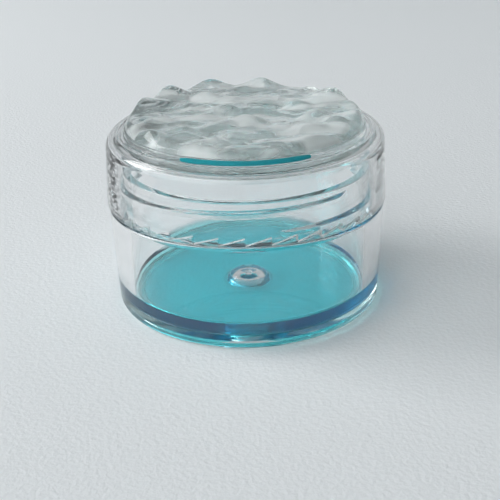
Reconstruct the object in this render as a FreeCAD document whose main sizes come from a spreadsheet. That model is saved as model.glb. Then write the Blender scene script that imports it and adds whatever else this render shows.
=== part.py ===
import FreeCAD, Part
import math
import os
import Sketcher
from FreeCAD import Vector, Placement, Rotation
from types import SimpleNamespace

# A small clear screw-lid jar, closed. A translucent tinted layer lies in its bottom, and a
# clear rippled layer, like the surface of water, covers the disc on top of its lid.
# Origin: centre of the foot's underside. +Z runs up the jar's axis. Millimetres.

os.makedirs("parts", exist_ok=True)
doc = FreeCAD.newDocument("ripple_jar")

# ---------------------------------------------------------------- driving dimensions
DIMENSIONS = [
    ("jar_rad", 19.8, "outer radius of the jar's wall at the shoulder"),
    ("foot_rad", 19.33, "outer radius of the jar's wall at the bottom"),
    ("cavity_rad", 16.9, "radius of the jar's cavity"),
    ("shoulder_z", 15.0, "height of the shoulder the lid closes down on"),
    ("neck_rad", 17.9, "outer radius of the neck"),
    ("neck_top", 20.55, "height of the neck's rim"),
    ("rim_round", 0.15, "rounding of the neck's rim"),
    ("shoulder_round", 0.5, "rounding of the shoulder's outer edge"),
    ("floor_z", 1.1, "height of the cavity's floor"),
    ("floor_round", 1.4, "rounding between the cavity's floor and wall"),
    ("foot_round", 0.9, "rounding of the jar's bottom edge"),
    ("foot_in", 16.0, "inner radius of the foot ring"),
    ("foot_step", 0.25, "how far the underside is raised inside the foot ring"),
    ("dome_rad", 3.6, "radius of the moulding gate's dome in the floor"),
    ("dome_top", 3.5, "radius of the dome's crown before rounding"),
    ("dome_rise", 2.6, "rise of the dome above the floor"),
    ("dome_round", 2.5, "rounding of the dome's crown"),
    ("gate_rad", 3.0, "radius of the gate's pit under the dome"),
    ("gate_top", 2.9, "radius of the pit's end"),
    ("gate_depth", 2.0, "depth of the gate's pit"),
    ("gate_round", 1.9, "rounding of the pit's end"),
    ("nub_rad", 0.5, "radius of the gate's stub in the pit"),
    ("nub_len", 0.35, "length of the gate's stub"),
    ("pitch", 3.0, "thread pitch"),
    ("ridge_root", 1.15, "thread ridge's width at its root"),
    ("ridge_crest", 0.5, "thread ridge's width at its crest"),
    ("ridge_high", 0.5, "thread ridge's height"),
    ("sink", 0.15, "how far a ridge's section starts inside its wall"),
    ("neck_run", 3.3, "climb of the neck's thread"),
    ("neck_start", 16.05, "height of the lower end of the neck's thread"),
    ("neck_angle", 280.0, "angle of the lower end of the neck's thread"),
    ("lid_run", 1.6, "climb of the lid's thread"),
    ("lid_start", 18.0, "height of the lower end of the lid's thread"),
    ("lid_rad", 20.0, "outer radius of the lid's rim"),
    ("lid_top_rad", 19.56, "outer radius of the lid's wall at the top"),
    ("lid_bore", 18.65, "inner radius of the lid's skirt"),
    ("rim_z", 15.2, "height of the lid's rim when it is closed"),
    ("rim_edge", 0.2, "rounding of the rim's outer edge"),
    ("lid_under", 24.0, "height of the underside of the lid's top"),
    ("lid_top", 25.0, "height of the lid's top rim"),
    ("lid_round", 1.8, "rounding of the lid's outer top edge"),
    ("corner_round", 0.6, "rounding in the corner under the lid's top"),
    ("groove_z", 24.75, "height of the groove's floor round the disc"),
    ("groove_out", 17.6, "outer radius of the groove"),
    ("disc_rad", 16.9, "radius of the raised disc on the lid"),
    ("disc_top", 25.8, "height of the raised disc's top"),
    ("disc_round", 0.3, "rounding of the disc's top edge"),
    ("teeth", 36, "ratchet teeth in the rim"),
    ("tooth_high", 1.0, "height of a ratchet tooth"),
    ("tooth_wide", 3.1, "length of a ratchet tooth's ramp"),
    ("tooth_out", 19.4, "outer radius of the ratchet ring"),
    ("tooth_in", 18.3, "radius where the ratchet cut starts, inside the bore"),
    ("tooth_low", 0.1, "depth of the ramp at its shallow end"),
    ("layer_top", 2.8, "height of the tinted layer's surface"),
    ("waist_rad", 3.47, "radius of the layer's opening where it bends round the dome"),
    ("waist_z", 2.05, "height of that bend"),
    ("shore_rad", 2.97, "radius of the layer's opening at its surface"),
    ("layer_climb", 0.8, "how far the tinted layer climbs the wall"),
    ("layer_curl", 1.6, "width of the climbing edge"),
    ("curl_outer", 0.15, "share of the climbing edge's width at its outer corner"),
    ("curl_inner", 0.45, "share of the climbing edge's width at its inner corner"),
    ("climb_outer", 0.45, "share of the climb left at the outer corner"),
    ("climb_inner", 0.12, "share of the climb left at the inner corner"),
    ("fit_gap", 0.02, "gap between the tinted layer and the jar"),
    ("seal_rad", 17.8, "radius of the clear seal disc inside the lid"),
    ("seal_thick", 0.55, "thickness of the seal disc"),
    ("seal_gap", 0.05, "gap between the seal disc and the lid's underside"),
    ("ripple_rad", 16.65, "radius of the rippled layer"),
    ("ripple_edge", 0.25, "thickness of the rippled layer at its edge"),
    ("ripple_mid", 0.9, "thickness of the rippled layer between its crests"),
    ("ripple_high", 2.4, "thickness of the rippled layer at the tallest crest"),
    ("shore", 1.3, "width of the rippled layer's sloping edge"),
    ("crest_long", 2.1, "half length of a crest"),
    ("crest_wide", 1.15, "half width of a crest"),
]

sheet = doc.addObject("Spreadsheet::Sheet", "dims")
for row, (alias, value, meaning) in enumerate(DIMENSIONS, start=1):
    sheet.set(f"A{row}", alias)
    sheet.set(f"B{row}", str(value))
    sheet.set(f"C{row}", meaning)
    sheet.setAlias(f"B{row}", alias)
doc.recompute()


class Size:
    """A length that carries its spreadsheet expression along with its number, so that
    sums of sizes can be bound to the sheet."""

    def __init__(self, text, number):
        self.text = text
        self.number = number

    def __add__(self, other):
        other = sized(other)
        return Size(f"({self.text} + {other.text})", self.number + other.number)

    def __sub__(self, other):
        other = sized(other)
        return Size(f"({self.text} - {other.text})", self.number - other.number)

    def __mul__(self, other):
        other = sized(other)
        return Size(f"{self.text} * {other.text}", self.number * other.number)

    def __truediv__(self, other):
        other = sized(other)
        return Size(f"{self.text} / {other.text}", self.number / other.number)


def sized(value):
    return value if isinstance(value, Size) else Size(str(value), float(value))


D = SimpleNamespace(**{alias: Size(f"dims.{alias}", float(sheet.get(alias)))
                       for alias, value, meaning in DIMENSIONS})
ZERO = Size("0", 0.0)
FULL_TURN = 360


def new_body(name):
    body = doc.addObject("PartDesign::Body", name)
    body.Label = name
    return body


def origin_feature(body, role):
    return next(f for f in body.Origin.OriginFeatures if f.Role == role)


def new_sketch(body, name, role="XZ_Plane", angle=None, lift=None):
    """A sketch on one of the body's own origin planes. angle turns an XZ sketch about the
    body's axis, and lift moves it off its plane."""
    sketch = body.newObject("Sketcher::SketchObject", name)
    sketch.AttachmentSupport = [(origin_feature(body, role), "")]
    sketch.MapMode = "FlatFace"
    if angle:
        sketch.AttachmentOffset = Placement(Vector(), Rotation(Vector(0, 1, 0), 1))
        sketch.setExpression(".AttachmentOffset.Rotation.Angle", angle.text)
    if lift:
        sketch.setExpression(".AttachmentOffset.Base.z", lift.text)
    return sketch


def closed_outline(sketch, points):
    """Straight segments through points, each a pair of sizes (across, up)."""
    spots = [Vector(across.number, up.number, 0) for across, up in points]
    count = len(points)
    for i in range(count):
        sketch.addGeometry(Part.LineSegment(spots[i], spots[(i + 1) % count]), False)
    for i in range(count):
        sketch.addConstraint(Sketcher.Constraint("Coincident", i, 2, (i + 1) % count, 1))
    for i, (across, up) in enumerate(points):
        pin_point(sketch, i, "DistanceX", across, -2)
        pin_point(sketch, i, "DistanceY", up, -1)


def pin_point(sketch, segment, kind, size, axis):
    """Holds the start of a segment at a distance from the origin, or on an axis at zero."""
    if size is ZERO:
        sketch.addConstraint(Sketcher.Constraint("PointOnObject", segment, 1, axis))
        return
    index = sketch.addConstraint(Sketcher.Constraint(kind, -1, 1, segment, 1, size.number))
    sketch.setExpression(f"Constraints[{index}]", size.text)


def revolve(body, name, points):
    """Turns a closed outline of (radius, height) expressions round the body's axis."""
    sketch = new_sketch(body, name + "_section")
    closed_outline(sketch, points)
    turned = body.newObject("PartDesign::Revolution", name)
    turned.Profile = sketch
    turned.ReferenceAxis = (sketch, ["V_Axis"])
    turned.Angle = 360
    doc.recompute()
    return turned


def circle_edges(feature, radius, height):
    """Names of a feature's circular edges round the axis, of that radius at that height."""
    found = []
    for number, edge in enumerate(feature.Shape.Edges, start=1):
        curve = edge.Curve
        if not isinstance(curve, Part.Circle):
            continue
        if abs(curve.Radius - radius) < 1e-3 and abs(curve.Center.z - height) < 1e-3:
            found.append(f"Edge{number}")
    if not found:
        raise RuntimeError(f"no edge of radius {radius} at height {height}")
    return found


def fillet(body, name, base, places, radius):
    """Rounds the circular edges at places, pairs of sizes (radius, height)."""
    edges = []
    for across, up in places:
        edges += circle_edges(base, across.number, up.number)
    rounded = body.newObject("PartDesign::Fillet", name)
    rounded.Base = (base, edges)
    rounded.setExpression("Radius", radius.text)
    doc.recompute()
    return rounded


def thread(body, name, root, crest, start, climb, angle):
    """A helical ridge on a wall. Its section runs from radius root, just inside the wall,
    to radius crest, and starts at a height and an angle."""
    sketch = new_sketch(body, name + "_section", angle=angle)
    closed_outline(sketch, [
        (root, start - D.ridge_root / 2),
        (crest, start - D.ridge_crest / 2),
        (crest, start + D.ridge_crest / 2),
        (root, start + D.ridge_root / 2),
    ])
    ridge = body.newObject("PartDesign::AdditiveHelix", name)
    ridge.Profile = sketch
    ridge.ReferenceAxis = (sketch, ["V_Axis"])
    ridge.Mode = 0
    ridge.setExpression("Pitch", D.pitch.text)
    ridge.setExpression("Height", climb.text)
    doc.recompute()
    return ridge


# ---------------------------------------------------------------- jar
# Thick-walled body: foot ring, floor with the gate's dome, wall, shoulder, neck with thread.
jar = new_body("jar")
jar_form = revolve(jar, "jar_form", [
    (ZERO, D.foot_step + D.gate_depth - D.nub_len),
    (D.nub_rad, D.foot_step + D.gate_depth - D.nub_len),
    (D.nub_rad, D.foot_step + D.gate_depth),
    (D.gate_top, D.foot_step + D.gate_depth),
    (D.gate_rad, D.foot_step),
    (D.foot_in - D.foot_step, D.foot_step),
    (D.foot_in, ZERO),
    (D.foot_rad, ZERO),
    (D.jar_rad, D.shoulder_z),
    (D.neck_rad, D.shoulder_z),
    (D.neck_rad, D.neck_top),
    (D.cavity_rad, D.neck_top),
    (D.cavity_rad, D.floor_z),
    (D.dome_rad, D.floor_z),
    (D.dome_top, D.floor_z + D.dome_rise),
    (ZERO, D.floor_z + D.dome_rise),
])
jar_foot = fillet(jar, "jar_foot", jar_form, [(D.foot_rad, ZERO)], D.foot_round)
jar_inside = fillet(jar, "jar_inside", jar_foot, [(D.cavity_rad, D.floor_z)],
                    D.floor_round)
jar_dome = fillet(jar, "jar_dome", jar_inside,
                  [(D.dome_top, D.floor_z + D.dome_rise)], D.dome_round)
jar_gate = fillet(jar, "jar_gate", jar_dome,
                  [(D.gate_top, D.foot_step + D.gate_depth)], D.gate_round)
jar_rim = fillet(jar, "jar_rim", jar_gate, [(D.neck_rad, D.neck_top),
                                            (D.cavity_rad, D.neck_top)],
                 D.rim_round)
jar_edge = fillet(jar, "jar_edge", jar_rim, [(D.jar_rad, D.shoulder_z)],
                  D.shoulder_round)
neck_thread = thread(jar, "neck_thread", D.neck_rad - D.sink, D.neck_rad + D.ridge_high,
                     D.neck_start, D.neck_run, D.neck_angle)

# ---------------------------------------------------------------- tinted layer
# Set resin or still colour lying on the floor, with its edge drawn up the wall. The gate's
# dome stands through it.
LAYER_RAD = D.cavity_rad - D.fit_gap
LAYER_FLOOR = D.floor_z + D.fit_gap
tinted_layer = new_body("tinted_layer")
layer_form = revolve(tinted_layer, "layer_form", [
    (D.dome_rad + D.fit_gap, LAYER_FLOOR),
    (LAYER_RAD, LAYER_FLOOR),
    (LAYER_RAD, D.layer_top + D.layer_climb),
    (LAYER_RAD - D.layer_curl * D.curl_outer, D.layer_top + D.layer_climb * D.climb_outer),
    (LAYER_RAD - D.layer_curl * D.curl_inner, D.layer_top + D.layer_climb * D.climb_inner),
    (LAYER_RAD - D.layer_curl, D.layer_top),
    (D.shore_rad, D.layer_top),
    (D.waist_rad, D.waist_z),
])
layer_edge = fillet(tinted_layer, "layer_edge", layer_form, [(LAYER_RAD, LAYER_FLOOR)],
                    D.floor_round)

# ---------------------------------------------------------------- seal disc
# Clear wad under the lid's top. It rises with the lid but needn't turn.
SEAL_TOP = D.lid_under - D.seal_gap
seal_disc = new_body("seal_disc")
seal_form = revolve(seal_disc, "seal_form", [
    (ZERO, SEAL_TOP - D.seal_thick),
    (D.seal_rad, SEAL_TOP - D.seal_thick),
    (D.seal_rad, SEAL_TOP),
    (ZERO, SEAL_TOP),
])

# ---------------------------------------------------------------- screw lid
# Skirt, thick top with a rounded shoulder, a shallow groove and the raised disc. The rim
# has the ring of ratchet ramps that holds the lid while its mould unscrews.
screw_lid = new_body("screw_lid")
lid_form = revolve(screw_lid, "lid_form", [
    (D.lid_bore, D.rim_z),
    (D.lid_rad, D.rim_z),
    (D.lid_top_rad, D.lid_top),
    (D.groove_out, D.lid_top),
    (D.groove_out - (D.lid_top - D.groove_z), D.groove_z),
    (D.disc_rad, D.groove_z),
    (D.disc_rad, D.disc_top),
    (ZERO, D.disc_top),
    (ZERO, D.lid_under),
    (D.lid_bore, D.lid_under),
])
lid_shoulder = fillet(screw_lid, "lid_shoulder", lid_form,
                      [(D.lid_top_rad, D.lid_top)], D.lid_round)
lid_edge = fillet(screw_lid, "lid_edge", lid_shoulder, [(D.lid_rad, D.rim_z)],
                  D.rim_edge)
lid_corner = fillet(screw_lid, "lid_corner", lid_edge, [(D.lid_bore, D.lid_under)],
                    D.corner_round)
lid_disc = fillet(screw_lid, "lid_disc", lid_corner, [(D.disc_rad, D.disc_top)],
                  D.disc_round)

tooth_sketch = new_sketch(screw_lid, "tooth_section", lift=D.tooth_in)
closed_outline(tooth_sketch, [
    (ZERO, D.rim_z - D.tooth_low),
    (D.tooth_wide, D.rim_z - D.tooth_low),
    (D.tooth_wide, D.rim_z + D.tooth_high),
    (ZERO, D.rim_z + D.tooth_low),
])
tooth = screw_lid.newObject("PartDesign::Pocket", "tooth")
tooth.Profile = tooth_sketch
tooth.Reversed = True
tooth.setExpression("Length", (D.tooth_out - D.tooth_in).text)
doc.recompute()
one_tooth = lid_disc.Shape.Volume - tooth.Shape.Volume
SMALLEST_CUT = 0.5
if one_tooth < SMALLEST_CUT:
    raise RuntimeError("the ratchet tooth cuts nothing")

tooth_ring = screw_lid.newObject("PartDesign::PolarPattern", "tooth_ring")
tooth_ring.Originals = [tooth]
tooth_ring.Axis = (origin_feature(screw_lid, "Z_Axis"), [""])
tooth_ring.Angle = FULL_TURN
tooth_ring.setExpression("Occurrences", D.teeth.text)
screw_lid.Tip = tooth_ring
doc.recompute()
all_teeth = lid_disc.Shape.Volume - tooth_ring.Shape.Volume
MOST_OF = 0.9
if all_teeth < MOST_OF * one_tooth * tooth_ring.Occurrences:
    raise RuntimeError("the ring of ratchet teeth isn't whole")

# The lid's ridge lies midway between the turns of the neck's ridge, so it starts at the
# angle where the neck's ridge is half a pitch lower.
turns_between = (D.lid_start - D.neck_start - D.pitch / 2) / D.pitch
lid_thread = thread(screw_lid, "lid_thread", D.lid_bore + D.sink, D.lid_bore - D.ridge_high,
                    D.lid_start, D.lid_run, D.neck_angle + turns_between * FULL_TURN)

# ---------------------------------------------------------------- rippled layer
# Clear texture gel on the disc. Its top is one smooth surface of crests like small waves.
# Low crests follow a sunflower spiral, each with its own height and lean, and a few tall
# ones stand near the rim.
GOLDEN_ANGLE = math.pi * (3 - math.sqrt(5))
CRESTS = 38
CREST_SHARE = 0.45        # a low crest's height as a share of the tallest
SHARE_SPREAD = 0.25       # how much that share varies
SHARE_STEP = 7.3          # radians from one crest's share to the next
LEAN_SPREAD = 0.9         # greatest lean of a low crest, in radians
LEAN_STEP = 2.1
# Angle in degrees, radius, share of the full height.
RIM_CRESTS = [(137, 15.6, 1.0), (110, 15.2, 0.9), (80, 14.8, 0.78), (30, 14.9, 0.95),
              (160, 15.4, 0.85), (350, 15.2, 0.55), (8, 15.4, 0.55)]
BLEND = 5                 # how sharply one crest gives way to the next
GRID_STEPS = 48
GRID_MARGIN = 1.03        # how far the surface reaches past the layer's edge


def crest_list():
    crests = []
    for i in range(CRESTS):
        reach = D.ripple_rad.number * math.sqrt((i + 0.5) / CRESTS)
        turn = i * GOLDEN_ANGLE
        share = CREST_SHARE + SHARE_SPREAD * math.sin(SHARE_STEP * i)
        lean = LEAN_SPREAD * math.sin(LEAN_STEP * i)
        crests.append((reach * math.cos(turn), reach * math.sin(turn), share, lean))
    for degrees, reach, share in RIM_CRESTS:
        turn = math.radians(degrees)
        crests.append((reach * math.cos(turn), reach * math.sin(turn), share, turn))
    return crests


def ripple_height(x, y, crests):
    """Thickness of the rippled layer above the disc at a place."""
    room = max(0.0, D.ripple_rad.number - math.hypot(x, y))
    shore = min(1.0, room / D.shore.number)
    slope = shore * (2 - shore)
    swell = 0.0
    for across, back, share, lean in crests:
        dx, dy = x - across, y - back
        along = (dx * math.cos(lean) + dy * math.sin(lean)) / D.crest_long.number
        aside = (dy * math.cos(lean) - dx * math.sin(lean)) / D.crest_wide.number
        swell += (share * math.exp(-(along ** 2 + aside ** 2) / 2)) ** BLEND
    swell = swell ** (1 / BLEND)
    body = D.ripple_mid.number + (D.ripple_high.number - D.ripple_mid.number) * swell
    return D.ripple_edge.number + (body - D.ripple_edge.number) * slope


def ripple_solid():
    reach = D.ripple_rad.number * GRID_MARGIN
    crests = crest_list()
    grid = []
    for i in range(GRID_STEPS + 1):
        x = reach * (2 * i / GRID_STEPS - 1)
        line = []
        for j in range(GRID_STEPS + 1):
            y = reach * (2 * j / GRID_STEPS - 1)
            line.append(Vector(x, y, D.disc_top.number + ripple_height(x, y, crests)))
        grid.append(line)
    top = Part.BSplineSurface()
    top.interpolate(grid)
    depth = 2 * D.ripple_high.number
    block = top.toShape().extrude(Vector(0, 0, -depth))
    drum = Part.makeCylinder(D.ripple_rad.number, 2 * depth, Vector(0, 0, D.disc_top.number))
    return drum.common(block).Solids[0]


ripple_layer = doc.addObject("Part::Feature", "ripple_layer")
ripple_layer.Label = "ripple_layer"
ripple_layer.Shape = ripple_solid()
ripple_layer.Placement = Placement(Vector(0, 0, 0), Rotation())

# ---------------------------------------------------------------- check and export
doc.recompute()
for item in doc.Objects:
    if "Invalid" in item.State or "Error" in item.State:
        raise RuntimeError(f"{item.Name} failed: {item.State}")

SUB_PARTS = [jar, tinted_layer, seal_disc, screw_lid, ripple_layer]
for sub_part in SUB_PARTS:
    shape = sub_part.Shape
    if shape.isNull() or not shape.isValid():
        raise RuntimeError(f"{sub_part.Label} has no valid shape")
    if len(shape.Solids) != 1:
        raise RuntimeError(f"{sub_part.Label} is {len(shape.Solids)} solids, not one")
    print(f"{sub_part.Label}: {shape.Volume:.1f} mm3, z {shape.BoundBox.ZMin:.2f}"
          f" to {shape.BoundBox.ZMax:.2f}")
    shape.exportStep(f"parts/{sub_part.Label}.step")
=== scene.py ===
import math
import bpy
from mathutils import Matrix, Vector, noise


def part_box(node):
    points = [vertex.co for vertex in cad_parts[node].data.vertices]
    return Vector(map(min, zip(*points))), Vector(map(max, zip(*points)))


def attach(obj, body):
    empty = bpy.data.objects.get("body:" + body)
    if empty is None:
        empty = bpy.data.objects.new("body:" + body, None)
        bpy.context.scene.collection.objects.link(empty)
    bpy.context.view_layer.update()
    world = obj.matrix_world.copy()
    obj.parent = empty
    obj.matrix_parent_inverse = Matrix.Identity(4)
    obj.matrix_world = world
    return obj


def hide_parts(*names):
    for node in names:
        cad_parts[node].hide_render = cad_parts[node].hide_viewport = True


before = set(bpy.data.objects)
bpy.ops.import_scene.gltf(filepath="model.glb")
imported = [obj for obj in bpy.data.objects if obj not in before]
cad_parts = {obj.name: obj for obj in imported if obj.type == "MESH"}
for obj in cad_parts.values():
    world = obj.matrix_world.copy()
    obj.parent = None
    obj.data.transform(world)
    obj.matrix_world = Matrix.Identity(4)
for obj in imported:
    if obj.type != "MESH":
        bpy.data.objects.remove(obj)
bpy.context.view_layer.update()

MM = 0.001

# ------------------------------------------------------------------ sizes, in millimetres
# Heights and outer radii come from the CAD nodes. The rest repeats the part's sheet.
node_box = {name: [Vector(corner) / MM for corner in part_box(name)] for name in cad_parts}

# The jar, from the foot up.
NECK_TOP = node_box["jar"][1].z
JAR_RAD = node_box["jar"][1].x
RIM_Z = node_box["screw_lid"][0].z
LID_RAD = node_box["screw_lid"][1].x
DISC_TOP = node_box["screw_lid"][1].z
LAYER_EDGE_Z = node_box["tinted_layer"][1].z
RIPPLE_RAD = 16.65
FOOT_RAD, CAVITY_RAD, NECK_RAD, SHOULDER_Z = 19.33, 16.9, 17.9, 15.0
FLOOR_Z, FLOOR_ROUND, FOOT_ROUND, FOOT_IN, FOOT_STEP = 1.1, 1.4, 0.9, 16.0, 0.25
RIM_ROUND, SHOULDER_ROUND = 0.15, 0.5
ROUND_STEPS = 10

# The moulding gate: the dome in the floor, the pit under it and its stub.
DOME_RAD, DOME_TOP, DOME_RISE, DOME_ROUND = 3.6, 3.5, 2.6, 2.5
GATE_RAD, GATE_TOP, GATE_DEPTH, GATE_ROUND = 3.0, 2.9, 2.0, 1.9
NUB_RAD, NUB_LEN, NUB_ROUND = 0.5, 0.35, 0.15

# The threads. Each ridge has a run (its length up the axis) and the place where it starts.
PITCH, RIDGE_ROOT, RIDGE_CREST, RIDGE_HIGH = 3.0, 1.15, 0.5, 0.5
RIDGE_FADE = 8          # degrees over which a ridge's end dies away
NECK_RUN, NECK_START, NECK_ANGLE = 3.3, 16.05, 280.0
LID_RUN, LID_START = 1.6, 18.0
LID_ANGLE = NECK_ANGLE + 360 * (LID_START - NECK_START - PITCH / 2) / PITCH

# The lid, its groove and disc, and the ramps in its rim.
LID_TOP_RAD, LID_BORE, LID_UNDER, LID_TOP, LID_ROUND = 19.56, 18.65, 24.0, 25.0, 1.8
RIM_EDGE, CORNER_ROUND = 0.2, 0.6
GROOVE_Z, GROOVE_OUT, DISC_RAD, DISC_ROUND, GROOVE_ROUND = 24.75, 17.6, 16.9, 0.3, 0.15
TEETH, TOOTH_HIGH, TOOTH_LOW, TOOTH_WIDE, TOOTH_OUT = 36, 1.0, 0.1, 3.1, 19.4

# The tinted layer: its edge is drawn up the wall and, less, up the dome.
LAYER_TOP, LAYER_CURL, CURL_POWER = 2.8, 1.6, 2.4
DOME_CURL, DOME_CLIMB = 0.6, 0.25

SEAL_RAD, SEAL_EDGE = 17.8, 0.1
SEAL_BOTTOM = node_box["seal_disc"][0].z

OVERLAP = 0.03          # how far clear pieces that touch run into each other
EDGE_SPACING = 1.2      # longest step along a section
THREAD_SPACING = 0.05   # the same where a thread's ridge is raised
ON_LINE = 1e-6


# ------------------------------------------------------------------ mesh helpers
def arc(across, up, radius, start, end, steps=8):
    """Points on an arc in the (radius, height) plane, angles in degrees."""
    points = []
    for i in range(steps + 1):
        angle = math.radians(start + (end - start) * i / steps)
        points.append((across + radius * math.cos(angle), up + radius * math.sin(angle)))
    return points


def dense(outline, spacing, closed):
    """Adds points along the long segments, with one close to each end to hold the normals."""
    hold, shortest = 0.04, 0.2
    points = []
    last = len(outline) if closed else len(outline) - 1
    for i in range(last):
        (r0, z0), (r1, z1) = outline[i], outline[(i + 1) % len(outline)]
        length = math.hypot(r1 - r0, z1 - z0)
        points.append((r0, z0))
        if length < shortest:
            continue
        step = spacing(r0, r1)
        count = max(1, math.ceil((length - 2 * hold) / step))
        for k in range(count + 1):
            share = (hold + (length - 2 * hold) * k / count) / length
            points.append((r0 + (r1 - r0) * share, z0 + (z1 - z0) * share))
    if not closed:
        points.append(outline[-1])
    return points


def mesh_object(name, verts, faces, material, sharp=30):
    mesh = bpy.data.meshes.new(name)
    mesh.from_pydata([(x * MM, y * MM, z * MM) for x, y, z in verts], [], faces)
    mesh.validate()
    mesh.polygons.foreach_set("use_smooth", [True] * len(mesh.polygons))
    mesh.set_sharp_from_angle(angle=math.radians(sharp))
    mesh.materials.append(material)
    piece = bpy.data.objects.new(name, mesh)
    bpy.context.scene.collection.objects.link(piece)
    return piece


def even_spacing(r0, r1):
    return EDGE_SPACING


def spacing_at(radius):
    """Close steps along the straight line at a radius, where a ridge is raised."""
    def spacing(r0, r1):
        on_line = abs(r0 - radius) < ON_LINE and abs(r1 - radius) < ON_LINE
        return THREAD_SPACING if on_line else EDGE_SPACING
    return spacing


def ring_verts(points, angles, bend):
    """Turns section points about Z. A point on the axis gives a ring of one vertex."""
    verts, rings = [], []
    for radius, height in points:
        if radius < ON_LINE:
            rings.append([len(verts)])
            verts.append((0, 0, height))
            continue
        rings.append(range(len(verts), len(verts) + len(angles)))
        for angle in angles:
            r, z = bend(angle, radius, height)
            verts.append((r * math.cos(angle), r * math.sin(angle), z))
    return verts, rings


def ring_faces(rings, around, loop):
    """Faces between each ring and the next; in a loop the last also meets the first."""
    faces = []
    for k in range(len(rings) if loop else len(rings) - 1):
        low, high = rings[k], rings[(k + 1) % len(rings)]
        if len(low) == 1 and len(high) == 1:
            continue
        for i in range(around):
            j = (i + 1) % around
            if len(low) == 1:
                faces.append((low[0], high[j], high[i]))
            elif len(high) == 1:
                faces.append((low[i], low[j], high[0]))
            else:
                faces.append((low[i], low[j], high[j], high[i]))
    return faces


def unbent(angle, radius, height):
    return radius, height


def turned(name, outline, material, angles, bend=unbent, spacing=even_spacing):
    """A closed solid turned about Z. An outline that starts and ends at radius 0 is closed
    by the axis, any other is a loop. The outline runs so that the solid is on its left."""
    loop = outline[0][0] > 0
    verts, rings = ring_verts(dense(outline, spacing, loop), angles, bend)
    return mesh_object(name, verts, ring_faces(rings, len(angles), loop), material)


def even_angles(count):
    return [2 * math.pi * i / count for i in range(count)]


def ridge(angle, height, start, run, first):
    """Height of a thread's ridge at an angle (radians) and height; its ends fade out."""
    sweep = 2 * math.pi * run / PITCH
    fade = math.radians(RIDGE_FADE)
    best = 0.0
    turn = (angle - math.radians(first)) % (2 * math.pi)
    while turn <= sweep:
        off = abs(height - start - PITCH * turn / (2 * math.pi))
        side = (RIDGE_ROOT / 2 - off) / ((RIDGE_ROOT - RIDGE_CREST) / 2)
        end = min(turn, sweep - turn) / fade
        side = max(0.0, min(1.0, side, end))
        best = max(best, RIDGE_HIGH * side * side * (3 - 2 * side))
        turn += 2 * math.pi
    return best


# ------------------------------------------------------------------ materials
def clear_material(name, ior, roughest, smudge_size, wave, wave_size, smoothest=0.0, tint=(1, 1, 1, 1)):
    """Clear plastic: gloss that changes a little over the surface, and a faint waviness.
    The sizes are the noises' scales: a larger number is a finer pattern."""
    material = bpy.data.materials.new(name)
    material.use_nodes = True
    tree = material.node_tree
    shader = tree.nodes["Principled BSDF"]
    shader.inputs["Base Color"].default_value = tint
    shader.inputs["IOR"].default_value = ior
    shader.inputs["Transmission Weight"].default_value = 1.0
    place = tree.nodes.new("ShaderNodeTexCoord")
    smudge = tree.nodes.new("ShaderNodeTexNoise")
    smudge.inputs["Scale"].default_value = smudge_size
    smudge.inputs["Detail"].default_value = 5.0
    spread = tree.nodes.new("ShaderNodeMapRange")
    spread.inputs["From Min"].default_value = 0.55
    spread.inputs["From Max"].default_value = 0.75
    spread.inputs["To Min"].default_value = smoothest
    spread.inputs["To Max"].default_value = roughest
    flow = tree.nodes.new("ShaderNodeTexNoise")
    flow.inputs["Scale"].default_value = wave_size
    flow.inputs["Detail"].default_value = 2.0
    bump = tree.nodes.new("ShaderNodeBump")
    bump.inputs["Strength"].default_value = wave
    bump.inputs["Distance"].default_value = 0.0004
    tree.links.new(place.outputs["Object"], smudge.inputs["Vector"])
    tree.links.new(place.outputs["Object"], flow.inputs["Vector"])
    tree.links.new(smudge.outputs["Fac"], spread.inputs["Value"])
    tree.links.new(spread.outputs["Result"], shader.inputs["Roughness"])
    tree.links.new(flow.outputs["Fac"], bump.inputs["Height"])
    tree.links.new(bump.outputs["Normal"], shader.inputs["Normal"])
    return material


def absorbing(material, colour, density):
    """Gives a clear material a dye: what passes through it takes on the colour."""
    tree = material.node_tree
    dye = tree.nodes.new("ShaderNodeVolumeAbsorption")
    dye.inputs["Color"].default_value = colour
    dye.inputs["Density"].default_value = density
    tree.links.new(dye.outputs["Volume"], tree.nodes["Material Output"].inputs["Volume"])


STYRENE_IOR, RESIN_IOR = 1.57, 1.5
jar_plastic = clear_material("jar_plastic", STYRENE_IOR, roughest=0.03, smudge_size=260,
                             wave=0.03, wave_size=180)
lid_plastic = clear_material("lid_plastic", STYRENE_IOR, roughest=0.03, smudge_size=300,
                             wave=0.03, wave_size=150)
seal_plastic = clear_material("seal_plastic", RESIN_IOR, roughest=0.03, smudge_size=300,
                              wave=0.02, wave_size=150)

# Both dyes' densities are per metre.
TURQUOISE_DYE, TURQUOISE_DENSITY = (0.02, 0.911, 0.948, 1), 930
GEL_DYE, GEL_DENSITY = (0.86, 0.97, 0.94, 1), 50
layer_resin = clear_material("layer_resin", RESIN_IOR, roughest=0.02, smudge_size=200,
                             wave=0.05, wave_size=120)
absorbing(layer_resin, TURQUOISE_DYE, TURQUOISE_DENSITY)
gel_clear = clear_material("gel_clear", RESIN_IOR, roughest=0.04, smudge_size=400,
                           wave=0.04, wave_size=260)
absorbing(gel_clear, GEL_DYE, GEL_DENSITY)
layer_resin.node_tree.nodes["Principled BSDF"].inputs["Specular IOR Level"].default_value = 0.2


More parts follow.
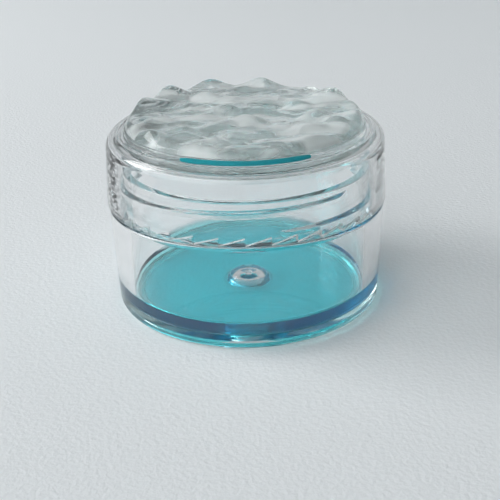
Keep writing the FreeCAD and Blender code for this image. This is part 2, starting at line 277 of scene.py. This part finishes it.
def milk_and_painted_highlights(material, tint, clearest, whitest):
    """Broad soft strokes in which a clear material turns a little milky and white. They are partly the
    material's own milkiness and partly painted highlights.
    """
    tree = material.node_tree
    shader = tree.nodes["Principled BSDF"]
    shader.inputs["Base Color"].default_value = tint
    place = tree.nodes.new("ShaderNodeTexCoord")
    stretch = tree.nodes.new("ShaderNodeMapping")
    stretch.inputs["Scale"].default_value = (0.55, 1.3, 1.0)
    stretch.inputs["Rotation"].default_value = (0.0, 0.0, 0.35)
    strokes = tree.nodes.new("ShaderNodeTexNoise")
    strokes.inputs["Scale"].default_value = 190
    strokes.inputs["Detail"].default_value = 1.5
    strokes.inputs["Distortion"].default_value = 0.6
    amount = tree.nodes.new("ShaderNodeMapRange")
    amount.interpolation_type = "SMOOTHSTEP"
    amount.inputs["From Min"].default_value = 0.42
    amount.inputs["From Max"].default_value = 0.62
    amount.inputs["To Min"].default_value = clearest
    amount.inputs["To Max"].default_value = whitest
    tree.links.new(place.outputs["Object"], stretch.inputs["Vector"])
    tree.links.new(stretch.outputs["Vector"], strokes.inputs["Vector"])
    tree.links.new(strokes.outputs["Fac"], amount.inputs["Value"])
    tree.links.new(amount.outputs["Result"], shader.inputs["Transmission Weight"])


# The gel's white strokes are partly a faint milkiness of its own and partly painted highlights, long
# and tilted like the glints on its ripples.
milk_and_painted_highlights(gel_clear, tint=(0.98, 1.0, 0.995, 1), clearest=1.0, whitest=0.5)
# Painted refraction: a half-clear teal film that stands in for the tinted layer seen through the lid.
painted_refraction_film = clear_material("painted_refraction_film", RESIN_IOR, roughest=0.2, smudge_size=600,
                             wave=0.05, wave_size=260, smoothest=0.05, tint=(0.03, 0.52, 0.60, 1))
painted_refraction_film.node_tree.nodes["Principled BSDF"].inputs["Transmission Weight"].default_value = 0.5

# ------------------------------------------------------------------ jar
pit_roof = FOOT_STEP + GATE_DEPTH
# The wall leans out a little. It is straight from this height to the shoulder.
WALL_Z = 4.0
wall_rad = FOOT_RAD + (JAR_RAD - FOOT_RAD) * WALL_Z / SHOULDER_Z
jar_outline = (
    [(0, pit_roof - NUB_LEN), (NUB_RAD - NUB_ROUND, pit_roof - NUB_LEN)]
    + arc(NUB_RAD - NUB_ROUND, pit_roof - NUB_LEN + NUB_ROUND, NUB_ROUND, -90, 0, 4)[1:]
    + [(NUB_RAD, pit_roof)]
    + arc(GATE_TOP - GATE_ROUND, pit_roof - GATE_ROUND, GATE_ROUND, 90, 5, ROUND_STEPS)
    + [(GATE_RAD, FOOT_STEP), (FOOT_IN - FOOT_STEP, FOOT_STEP)]
    + [(FOOT_IN, 0)]
    + arc(FOOT_RAD - FOOT_ROUND, FOOT_ROUND, FOOT_ROUND, -90, 0, ROUND_STEPS)
    + [(wall_rad, WALL_Z)]
    + arc(JAR_RAD - SHOULDER_ROUND, SHOULDER_Z - SHOULDER_ROUND, SHOULDER_ROUND, 0, 90, ROUND_STEPS)
    + [(NECK_RAD, SHOULDER_Z)]
    + arc(NECK_RAD - RIM_ROUND, NECK_TOP - RIM_ROUND, RIM_ROUND, 0, 90, ROUND_STEPS)
    + arc(CAVITY_RAD + RIM_ROUND, NECK_TOP - RIM_ROUND, RIM_ROUND, 90, 180, ROUND_STEPS)
    + arc(CAVITY_RAD - FLOOR_ROUND, FLOOR_Z + FLOOR_ROUND, FLOOR_ROUND, 0, -90, ROUND_STEPS)
)
# The dome's foot blends into the floor by two short slopes.
dome_arc = [(DOME_RAD + 0.25, FLOOR_Z), (DOME_RAD + 0.08, FLOOR_Z + 0.04), (DOME_RAD, FLOOR_Z + 0.15)]
dome_arc += arc(DOME_TOP - DOME_ROUND, FLOOR_Z + DOME_RISE - DOME_ROUND, DOME_ROUND,
                3, 90, 2 * ROUND_STEPS)
jar_outline += dome_arc + [(0, FLOOR_Z + DOME_RISE)]


def neck_ridge(angle, radius, height):
    if abs(radius - NECK_RAD) < ON_LINE:
        return radius + ridge(angle, height, NECK_START, NECK_RUN, NECK_ANGLE), height
    return radius, height


clear_jar = turned("clear_jar", jar_outline, jar_plastic, even_angles(360), neck_ridge,
                   spacing_at(NECK_RAD))
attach(clear_jar, "root")
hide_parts("jar")

# ------------------------------------------------------------------ tinted layer
WALL_CURL_STEPS, DOME_CURL_STEPS = 12, 8
dome_side = [(r, z) for r, z in dome_arc if z < LAYER_TOP + DOME_CLIMB]
layer_outline = [(r - OVERLAP, z - OVERLAP) for r, z in reversed(dome_side)]
layer_outline += arc(CAVITY_RAD - FLOOR_ROUND, FLOOR_Z + FLOOR_ROUND, FLOOR_ROUND + OVERLAP,
                     -90, 0, ROUND_STEPS)
layer_outline.append((CAVITY_RAD + OVERLAP, LAYER_EDGE_Z))
for i in range(WALL_CURL_STEPS + 1):
    share = i / WALL_CURL_STEPS
    layer_outline.append((CAVITY_RAD - OVERLAP - LAYER_CURL * share,
                          LAYER_TOP + (LAYER_EDGE_Z - LAYER_TOP) * (1 - share) ** CURL_POWER))
for i in range(DOME_CURL_STEPS):
    share = i / DOME_CURL_STEPS
    layer_outline.append((dome_side[-1][0] + DOME_CURL * (1 - share),
                          LAYER_TOP + DOME_CLIMB * share ** CURL_POWER))
resin_layer = turned("resin_layer", layer_outline, layer_resin, even_angles(240))
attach(resin_layer, "root")
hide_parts("tinted_layer")

# ------------------------------------------------------------------ lid
tooth_sweep = math.degrees(math.atan2(TOOTH_WIDE, TOOTH_OUT))
tooth_step = 360 / TEETH
# Angles across one tooth, in degrees: the ramp, its sudden end and the flat before the next.
RAMP_STEPS, RAMP_END, FIRST_TOOTH = 8, 0.02, -90
ramp_angles = [tooth_sweep * i / RAMP_STEPS for i in range(RAMP_STEPS + 1)]
ramp_angles.append(tooth_sweep + RAMP_END)
lid_angles = [math.radians(FIRST_TOOTH + tooth_step * k + a)
              for k in range(TEETH) for a in ramp_angles]
RAMP_LEVEL = RIM_Z + 0.001      # marks the section's points that follow the ramps


def lid_bend(angle, radius, height):
    if abs(height - RAMP_LEVEL) < ON_LINE:
        # The tiny amount keeps a tooth's first angle from falling into the one before.
        along = (math.degrees(angle) - FIRST_TOOTH + 1e-4) % tooth_step
        rise = 0.0
        if along < tooth_sweep + RAMP_END / 2:
            rise = TOOTH_LOW + (TOOTH_HIGH - TOOTH_LOW) * along / tooth_sweep
        return radius, RIM_Z + rise
    if abs(radius - LID_BORE) < ON_LINE:
        return radius - ridge(angle, height, LID_START, LID_RUN, LID_ANGLE), height
    return radius, height


lid_outline = (
    [(TOOTH_OUT, RIM_Z)]
    + arc(LID_RAD - RIM_EDGE, RIM_Z + RIM_EDGE, RIM_EDGE, -90, 0, 5)
    + arc(LID_TOP_RAD - LID_ROUND, LID_TOP - LID_ROUND, LID_ROUND, 0, 90, 2 * ROUND_STEPS)
    + arc(GROOVE_OUT + GROOVE_ROUND, LID_TOP - GROOVE_ROUND, GROOVE_ROUND, 90, 135, 3)
    + [(GROOVE_OUT - (LID_TOP - GROOVE_Z), GROOVE_Z)]
    + arc(DISC_RAD + GROOVE_ROUND, GROOVE_Z + GROOVE_ROUND, GROOVE_ROUND, -90, -180, 4)
    + arc(DISC_RAD - DISC_ROUND, DISC_TOP - DISC_ROUND, DISC_ROUND, 0, 90, 6)
    + [(0, DISC_TOP)]
)
lid_inner = (
    [(0, LID_UNDER)]
    + arc(LID_BORE - CORNER_ROUND, LID_UNDER - CORNER_ROUND, CORNER_ROUND, 90, 0, ROUND_STEPS)
    + [(LID_BORE, RIM_Z + TOOTH_HIGH + 0.1)]
    # The first of these lies a hair inside the bore, so that no thread is raised on it.
    + [(LID_BORE - 0.0001, RAMP_LEVEL), (TOOTH_OUT, RAMP_LEVEL)]
)


def lid_mesh():
    """The lid is one loop that crosses the axis twice, so its two sides share one mesh."""
    bore_spacing = spacing_at(LID_BORE)
    section = dense(lid_outline, bore_spacing, False) + dense(lid_inner, bore_spacing, False)
    verts, rings = ring_verts(section, lid_angles, lid_bend)
    return mesh_object("clear_lid", verts, ring_faces(rings, len(lid_angles), True), lid_plastic)


clear_lid = lid_mesh()
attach(clear_lid, "lid")
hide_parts("screw_lid")

# ------------------------------------------------------------------ painted refraction of the tinted layer
# A thin teal line along the front of the raised disc's side. It is a painted refraction that stands in
# for the tinted layer seen through the lid, not resin of its own.
TRACE_FROM, TRACE_TO, TRACE_LOW, TRACE_HIGH, TRACE_SKIN = -119.0, -61.0, 25.02, 25.66, 0.05
TRACE_STEPS, TRACE_SWAY, TRACE_TIP = 90, 0.02, 0.55     # the ends thin to this share


def trace_mesh():
    verts, faces = [], []
    inside, outside = DISC_RAD - TRACE_SKIN, DISC_RAD + TRACE_SKIN
    for i in range(TRACE_STEPS + 1):
        share = i / TRACE_STEPS
        angle = math.radians(TRACE_FROM + (TRACE_TO - TRACE_FROM) * share)
        end = min(1.0, 12 * min(share, 1 - share)) ** 0.5
        middle = (TRACE_LOW + TRACE_HIGH) / 2 + TRACE_SWAY * math.sin(9 * share)
        half = (TRACE_HIGH - TRACE_LOW) / 2 * (TRACE_TIP + (1 - TRACE_TIP) * end)
        for radius, height in ((inside, middle - half), (outside, middle - half),
                               (outside, middle + half), (inside, middle + half)):
            verts.append((radius * math.cos(angle), radius * math.sin(angle), height))
    for i in range(TRACE_STEPS):
        for k in range(4):
            a, b = 4 * i + k, 4 * i + (k + 1) % 4
            faces.append((a, a + 4, b + 4, b))
    faces.append((0, 1, 2, 3))
    last = 4 * TRACE_STEPS
    faces.append((last + 3, last + 2, last + 1, last))
    return mesh_object("painted_teal_refraction", verts, faces, painted_refraction_film)


painted_teal_refraction = trace_mesh()
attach(painted_teal_refraction, "lid")

# ------------------------------------------------------------------ seal
seal_outline = ([(0, SEAL_BOTTOM)]
                + arc(SEAL_RAD - SEAL_EDGE, SEAL_BOTTOM + SEAL_EDGE, SEAL_EDGE, -90, 0, 4)
                + [(SEAL_RAD, LID_UNDER + OVERLAP), (0, LID_UNDER + OVERLAP)])
seal_film = turned("seal_film", seal_outline, seal_plastic, even_angles(240))
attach(seal_film, "seal")
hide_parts("seal_disc")

# ------------------------------------------------------------------ rippled gel
# Low crests lie in a sunflower pattern. The layer slopes to its edge over SHORE, and fine
# strokes fade out over INLAND.
RIPPLE_EDGE, RIPPLE_MID, RIPPLE_HIGH = 0.3, 0.9, 2.4
SHORE, INLAND, EDGE_STEP = 1.3, 3.5, 0.2
GOLDEN_ANGLE = math.pi * (3 - math.sqrt(5))
CRESTS = 38
CREST_SHARE, CREST_VARIATION, CREST_LEAN = 0.45, 0.25, 0.9
BLEND = 5               # how sharply neighbouring crests are kept apart
STROKE_HIGH, FACET_HIGH, FACET_LEVEL, WARP = 0.42, 0.20, 0.6, 0.9
LOW_CREST, TALL_CREST = (2.1, 1.3), (2.5, 1.9)      # half length and half width
# Tall crests near the rim: angle in degrees, radius, share of the full height.
RIM_CRESTS = [(137, 15.6, 1.0), (110, 15.2, 0.9), (80, 14.8, 0.78), (30, 14.9, 0.95),
              (160, 15.4, 0.85), (350, 15.2, 0.55), (8, 15.4, 0.55)]


def crest_list():
    crests = []
    for i in range(CRESTS):
        reach = RIPPLE_RAD * math.sqrt((i + 0.5) / CRESTS)
        turn = i * GOLDEN_ANGLE
        share = CREST_SHARE + CREST_VARIATION * math.sin(7.3 * i)
        lean = CREST_LEAN * math.sin(2.1 * i)
        crests.append((reach * math.cos(turn), reach * math.sin(turn), share, lean, *LOW_CREST))
    for degrees, reach, share in RIM_CRESTS:
        turn = math.radians(degrees)
        crests.append((reach * math.cos(turn), reach * math.sin(turn), share, turn, *TALL_CREST))
    return crests


gel_crests = crest_list()


def gel_height(x, y):
    room = max(0.0, RIPPLE_RAD - math.hypot(x, y))
    shore = min(1.0, room / SHORE)
    shore = shore * (2 - shore)
    swell = 0.0
    for cx, cy, share, lean, half_long, half_wide in gel_crests:
        dx, dy = x - cx, y - cy
        along = (dx * math.cos(lean) + dy * math.sin(lean)) / half_long
        across = (-dx * math.sin(lean) + dy * math.cos(lean)) / half_wide
        swell += (share * math.exp(-0.5 * (along ** 2 + across ** 2))) ** BLEND
    swell = swell ** (1 / BLEND)
    stroke = noise.noise(Vector((x * 0.22, y * 0.34, 3.1)))
    warp = WARP * noise.noise(Vector((x * 0.2, y * 0.2, 11.0)))
    fold = noise.noise(Vector((x * 0.17 + warp + 9, y * 0.27 - x * 0.06 + warp, 7.7)))
    fine = STROKE_HIGH * stroke + FACET_HIGH * (1 - 2 * abs(fold) - FACET_LEVEL)
    inland = min(1.0, room / INLAND)
    body = RIPPLE_MID + (RIPPLE_HIGH - RIPPLE_MID) * swell + inland * fine
    return RIPPLE_EDGE * min(1.0, room / EDGE_STEP) + (body - RIPPLE_EDGE) * shore


def gel_mesh():
    """The rippled top in rings that get closer towards the edge, then a flat underside."""
    top_rings, around, crowding = 110, 360, 1.25
    verts = [(0, 0, DISC_TOP + gel_height(0, 0))]
    rings = [[0]]
    angles = even_angles(around)
    for k in range(1, top_rings + 1):
        radius = RIPPLE_RAD * (1 - (1 - k / top_rings) ** crowding)
        rings.append(range(len(verts), len(verts) + around))
        for angle in angles:
            x, y = radius * math.cos(angle), radius * math.sin(angle)
            verts.append((x, y, DISC_TOP + gel_height(x, y)))
    for radius in (RIPPLE_RAD, RIPPLE_RAD / 2):
        rings.append(range(len(verts), len(verts) + around))
        for angle in angles:
            verts.append((radius * math.cos(angle), radius * math.sin(angle), DISC_TOP - OVERLAP))
    rings.append([len(verts)])
    verts.append((0, 0, DISC_TOP - OVERLAP))
    # From the underside up, so that the faces look outwards.
    faces = ring_faces(rings[::-1], around, False)
    return mesh_object("water_gel", verts, faces, gel_clear, sharp=60)


water_gel = gel_mesh()
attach(water_gel, "lid")
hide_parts("ripple_layer")


# ------------------------------------------------------------------ stage
def paper(name, colour, grain):
    material = bpy.data.materials.new(name)
    material.use_nodes = True
    tree = material.node_tree
    shader = tree.nodes["Principled BSDF"]
    shader.inputs["Base Color"].default_value = colour
    shader.inputs["Roughness"].default_value = 0.95
    shader.inputs["Specular IOR Level"].default_value = 0.2
    place = tree.nodes.new("ShaderNodeTexCoord")
    fibre = tree.nodes.new("ShaderNodeTexNoise")
    fibre.inputs["Scale"].default_value = 1600
    fibre.inputs["Detail"].default_value = 6
    bump = tree.nodes.new("ShaderNodeBump")
    bump.inputs["Strength"].default_value = grain
    bump.inputs["Distance"].default_value = 0.0003
    tree.links.new(place.outputs["Object"], fibre.inputs["Vector"])
    tree.links.new(fibre.outputs["Fac"], bump.inputs["Height"])
    tree.links.new(bump.outputs["Normal"], shader.inputs["Normal"])
    return material


HALF = 12.0             # metres
# The jar stands on the paper's fibres, so the sheet itself lies a hair below the foot.
PAPER_Z = -0.08 * MM
PAPER_TINT, PAPER_GRAIN = (0.86, 0.88, 0.89, 1), 0.35
floor_mesh = bpy.data.meshes.new("paper_floor")
floor_mesh.from_pydata([(-HALF, -HALF, PAPER_Z), (HALF, -HALF, PAPER_Z),
                        (HALF, HALF, PAPER_Z), (-HALF, HALF, PAPER_Z)],
                       [], [(0, 1, 2, 3)])
paper_floor = bpy.data.objects.new("paper_floor", floor_mesh)
bpy.context.scene.collection.objects.link(paper_floor)
floor_mesh.materials.append(paper("paper", PAPER_TINT, PAPER_GRAIN))

world = bpy.data.worlds.new("room")
bpy.context.scene.world = world
world.use_nodes = True
tree = world.node_tree
background = tree.nodes["Background"]
gaze = tree.nodes.new("ShaderNodeTexCoord")


def lobe(direction, stops):
    """Grey level by the angle between the view into the room and a direction."""
    dot = tree.nodes.new("ShaderNodeVectorMath")
    dot.operation = "DOT_PRODUCT"
    dot.inputs[1].default_value = Vector(direction).normalized()
    shift = tree.nodes.new("ShaderNodeMapRange")
    shift.inputs["From Min"].default_value = -1
    shift.inputs["From Max"].default_value = 1
    ramp = tree.nodes.new("ShaderNodeValToRGB")
    while len(ramp.color_ramp.elements) < len(stops):
        ramp.color_ramp.elements.new(0.5)
    for element, (position, colour) in zip(ramp.color_ramp.elements, stops):
        element.position = position
        element.color = (*colour, 1)
    tree.links.new(gaze.outputs["Generated"], dot.inputs[0])
    tree.links.new(dot.outputs["Value"], shift.inputs["Value"])
    tree.links.new(shift.outputs["Result"], ramp.inputs["Fac"])
    return ramp.outputs["Color"]


def combined(blend, first, second):
    mix = tree.nodes.new("ShaderNodeMix")
    mix.data_type = "RGBA"
    mix.blend_type = blend
    mix.inputs["Factor"].default_value = 1.0
    tree.links.new(first, mix.inputs["A"])
    tree.links.new(second, mix.inputs["B"])
    return mix.outputs["Result"]


# The room is lighter on the window's side, white to the left of the camera and dark to
# its right.
ROOM_STRENGTH = 0.68
side = lobe((-1, 0.25, 0.1), [(0.0, (0.56, 0.585, 0.59)), (1.0, (0.86, 0.91, 0.94))])
white = lobe((-0.72, -0.66, 0.22), [(0.0, (0, 0, 0)), (0.82, (0, 0, 0)),
                                    (0.86, (0.9, 0.93, 0.95)), (1.0, (1.0, 1.0, 1.0))])
dark = lobe((0.62, -0.78, 0.10), [(0.0, (1, 1, 1)), (0.74, (0.9, 0.9, 0.9)),
                                  (0.83, (0.20, 0.19, 0.18)), (1.0, (0.16, 0.15, 0.14))])
# The white part is twice as bright as a ramp can give.
bright = combined("ADD", white, white)
room = combined("ADD", combined("MULTIPLY", side, dark), bright)
tree.links.new(room, background.inputs["Color"])
background.inputs["Strength"].default_value = ROOM_STRENGTH


def soft_light(name, place, size, power, target=(0, 0, 0.012)):
    light = bpy.data.lights.new(name, "AREA")
    light.shape = "RECTANGLE"
    light.size, light.size_y = size
    light.energy = power
    lamp = bpy.data.objects.new(name, light)
    bpy.context.scene.collection.objects.link(lamp)
    lamp.location = place
    lamp.rotation_euler = (Vector(target) - Vector(place)).to_track_quat("-Z", "Y").to_euler()
    return lamp


soft_light("window", place=(-0.55, 0.10, 0.34), size=(0.32, 0.36), power=2.0)

# ------------------------------------------------------------------ camera
camera = bpy.data.cameras.new("camera")
camera.sensor_width = 36
camera.lens = 64.8
camera.clip_start = 0.005
view = bpy.data.objects.new("camera", camera)
bpy.context.scene.collection.objects.link(view)
PITCH_DOWN, ROLL = 0.435671, -0.025065
cos_roll, sin_roll = math.cos(ROLL), math.sin(ROLL)


def rolled(x, y, z):
    return Vector((cos_roll * x - sin_roll * y, -(sin_roll * x + cos_roll * y), -z))


# The rows are the world's axes as the camera sees them: to its right, up and backwards.
turn = Matrix((rolled(1, 0, 0), rolled(0, -math.sin(PITCH_DOWN), math.cos(PITCH_DOWN)),
               rolled(0, -math.cos(PITCH_DOWN), -math.sin(PITCH_DOWN))))
# The foot's centre as the camera sees it, in lid radii.
FOOT_SEEN = Vector((-0.0083682, -0.2587469, -6.8528152))
offset = FOOT_SEEN * LID_RAD * MM
view.matrix_world = Matrix.Translation(-(turn @ offset)) @ turn.to_4x4()
bpy.context.scene.camera = view

scene = bpy.context.scene
scene.view_settings.view_transform = "Standard"
scene.view_settings.look = "Medium High Contrast"
scene.view_settings.exposure = -0.42
scene.cycles.use_denoising = True
scene.cycles.max_bounces = 32
scene.cycles.transmission_bounces = 32
scene.cycles.glossy_bounces = 16
scene.cycles.caustics_reflective = True
scene.cycles.caustics_refractive = True
scene.cycles.blur_glossy = 0.0
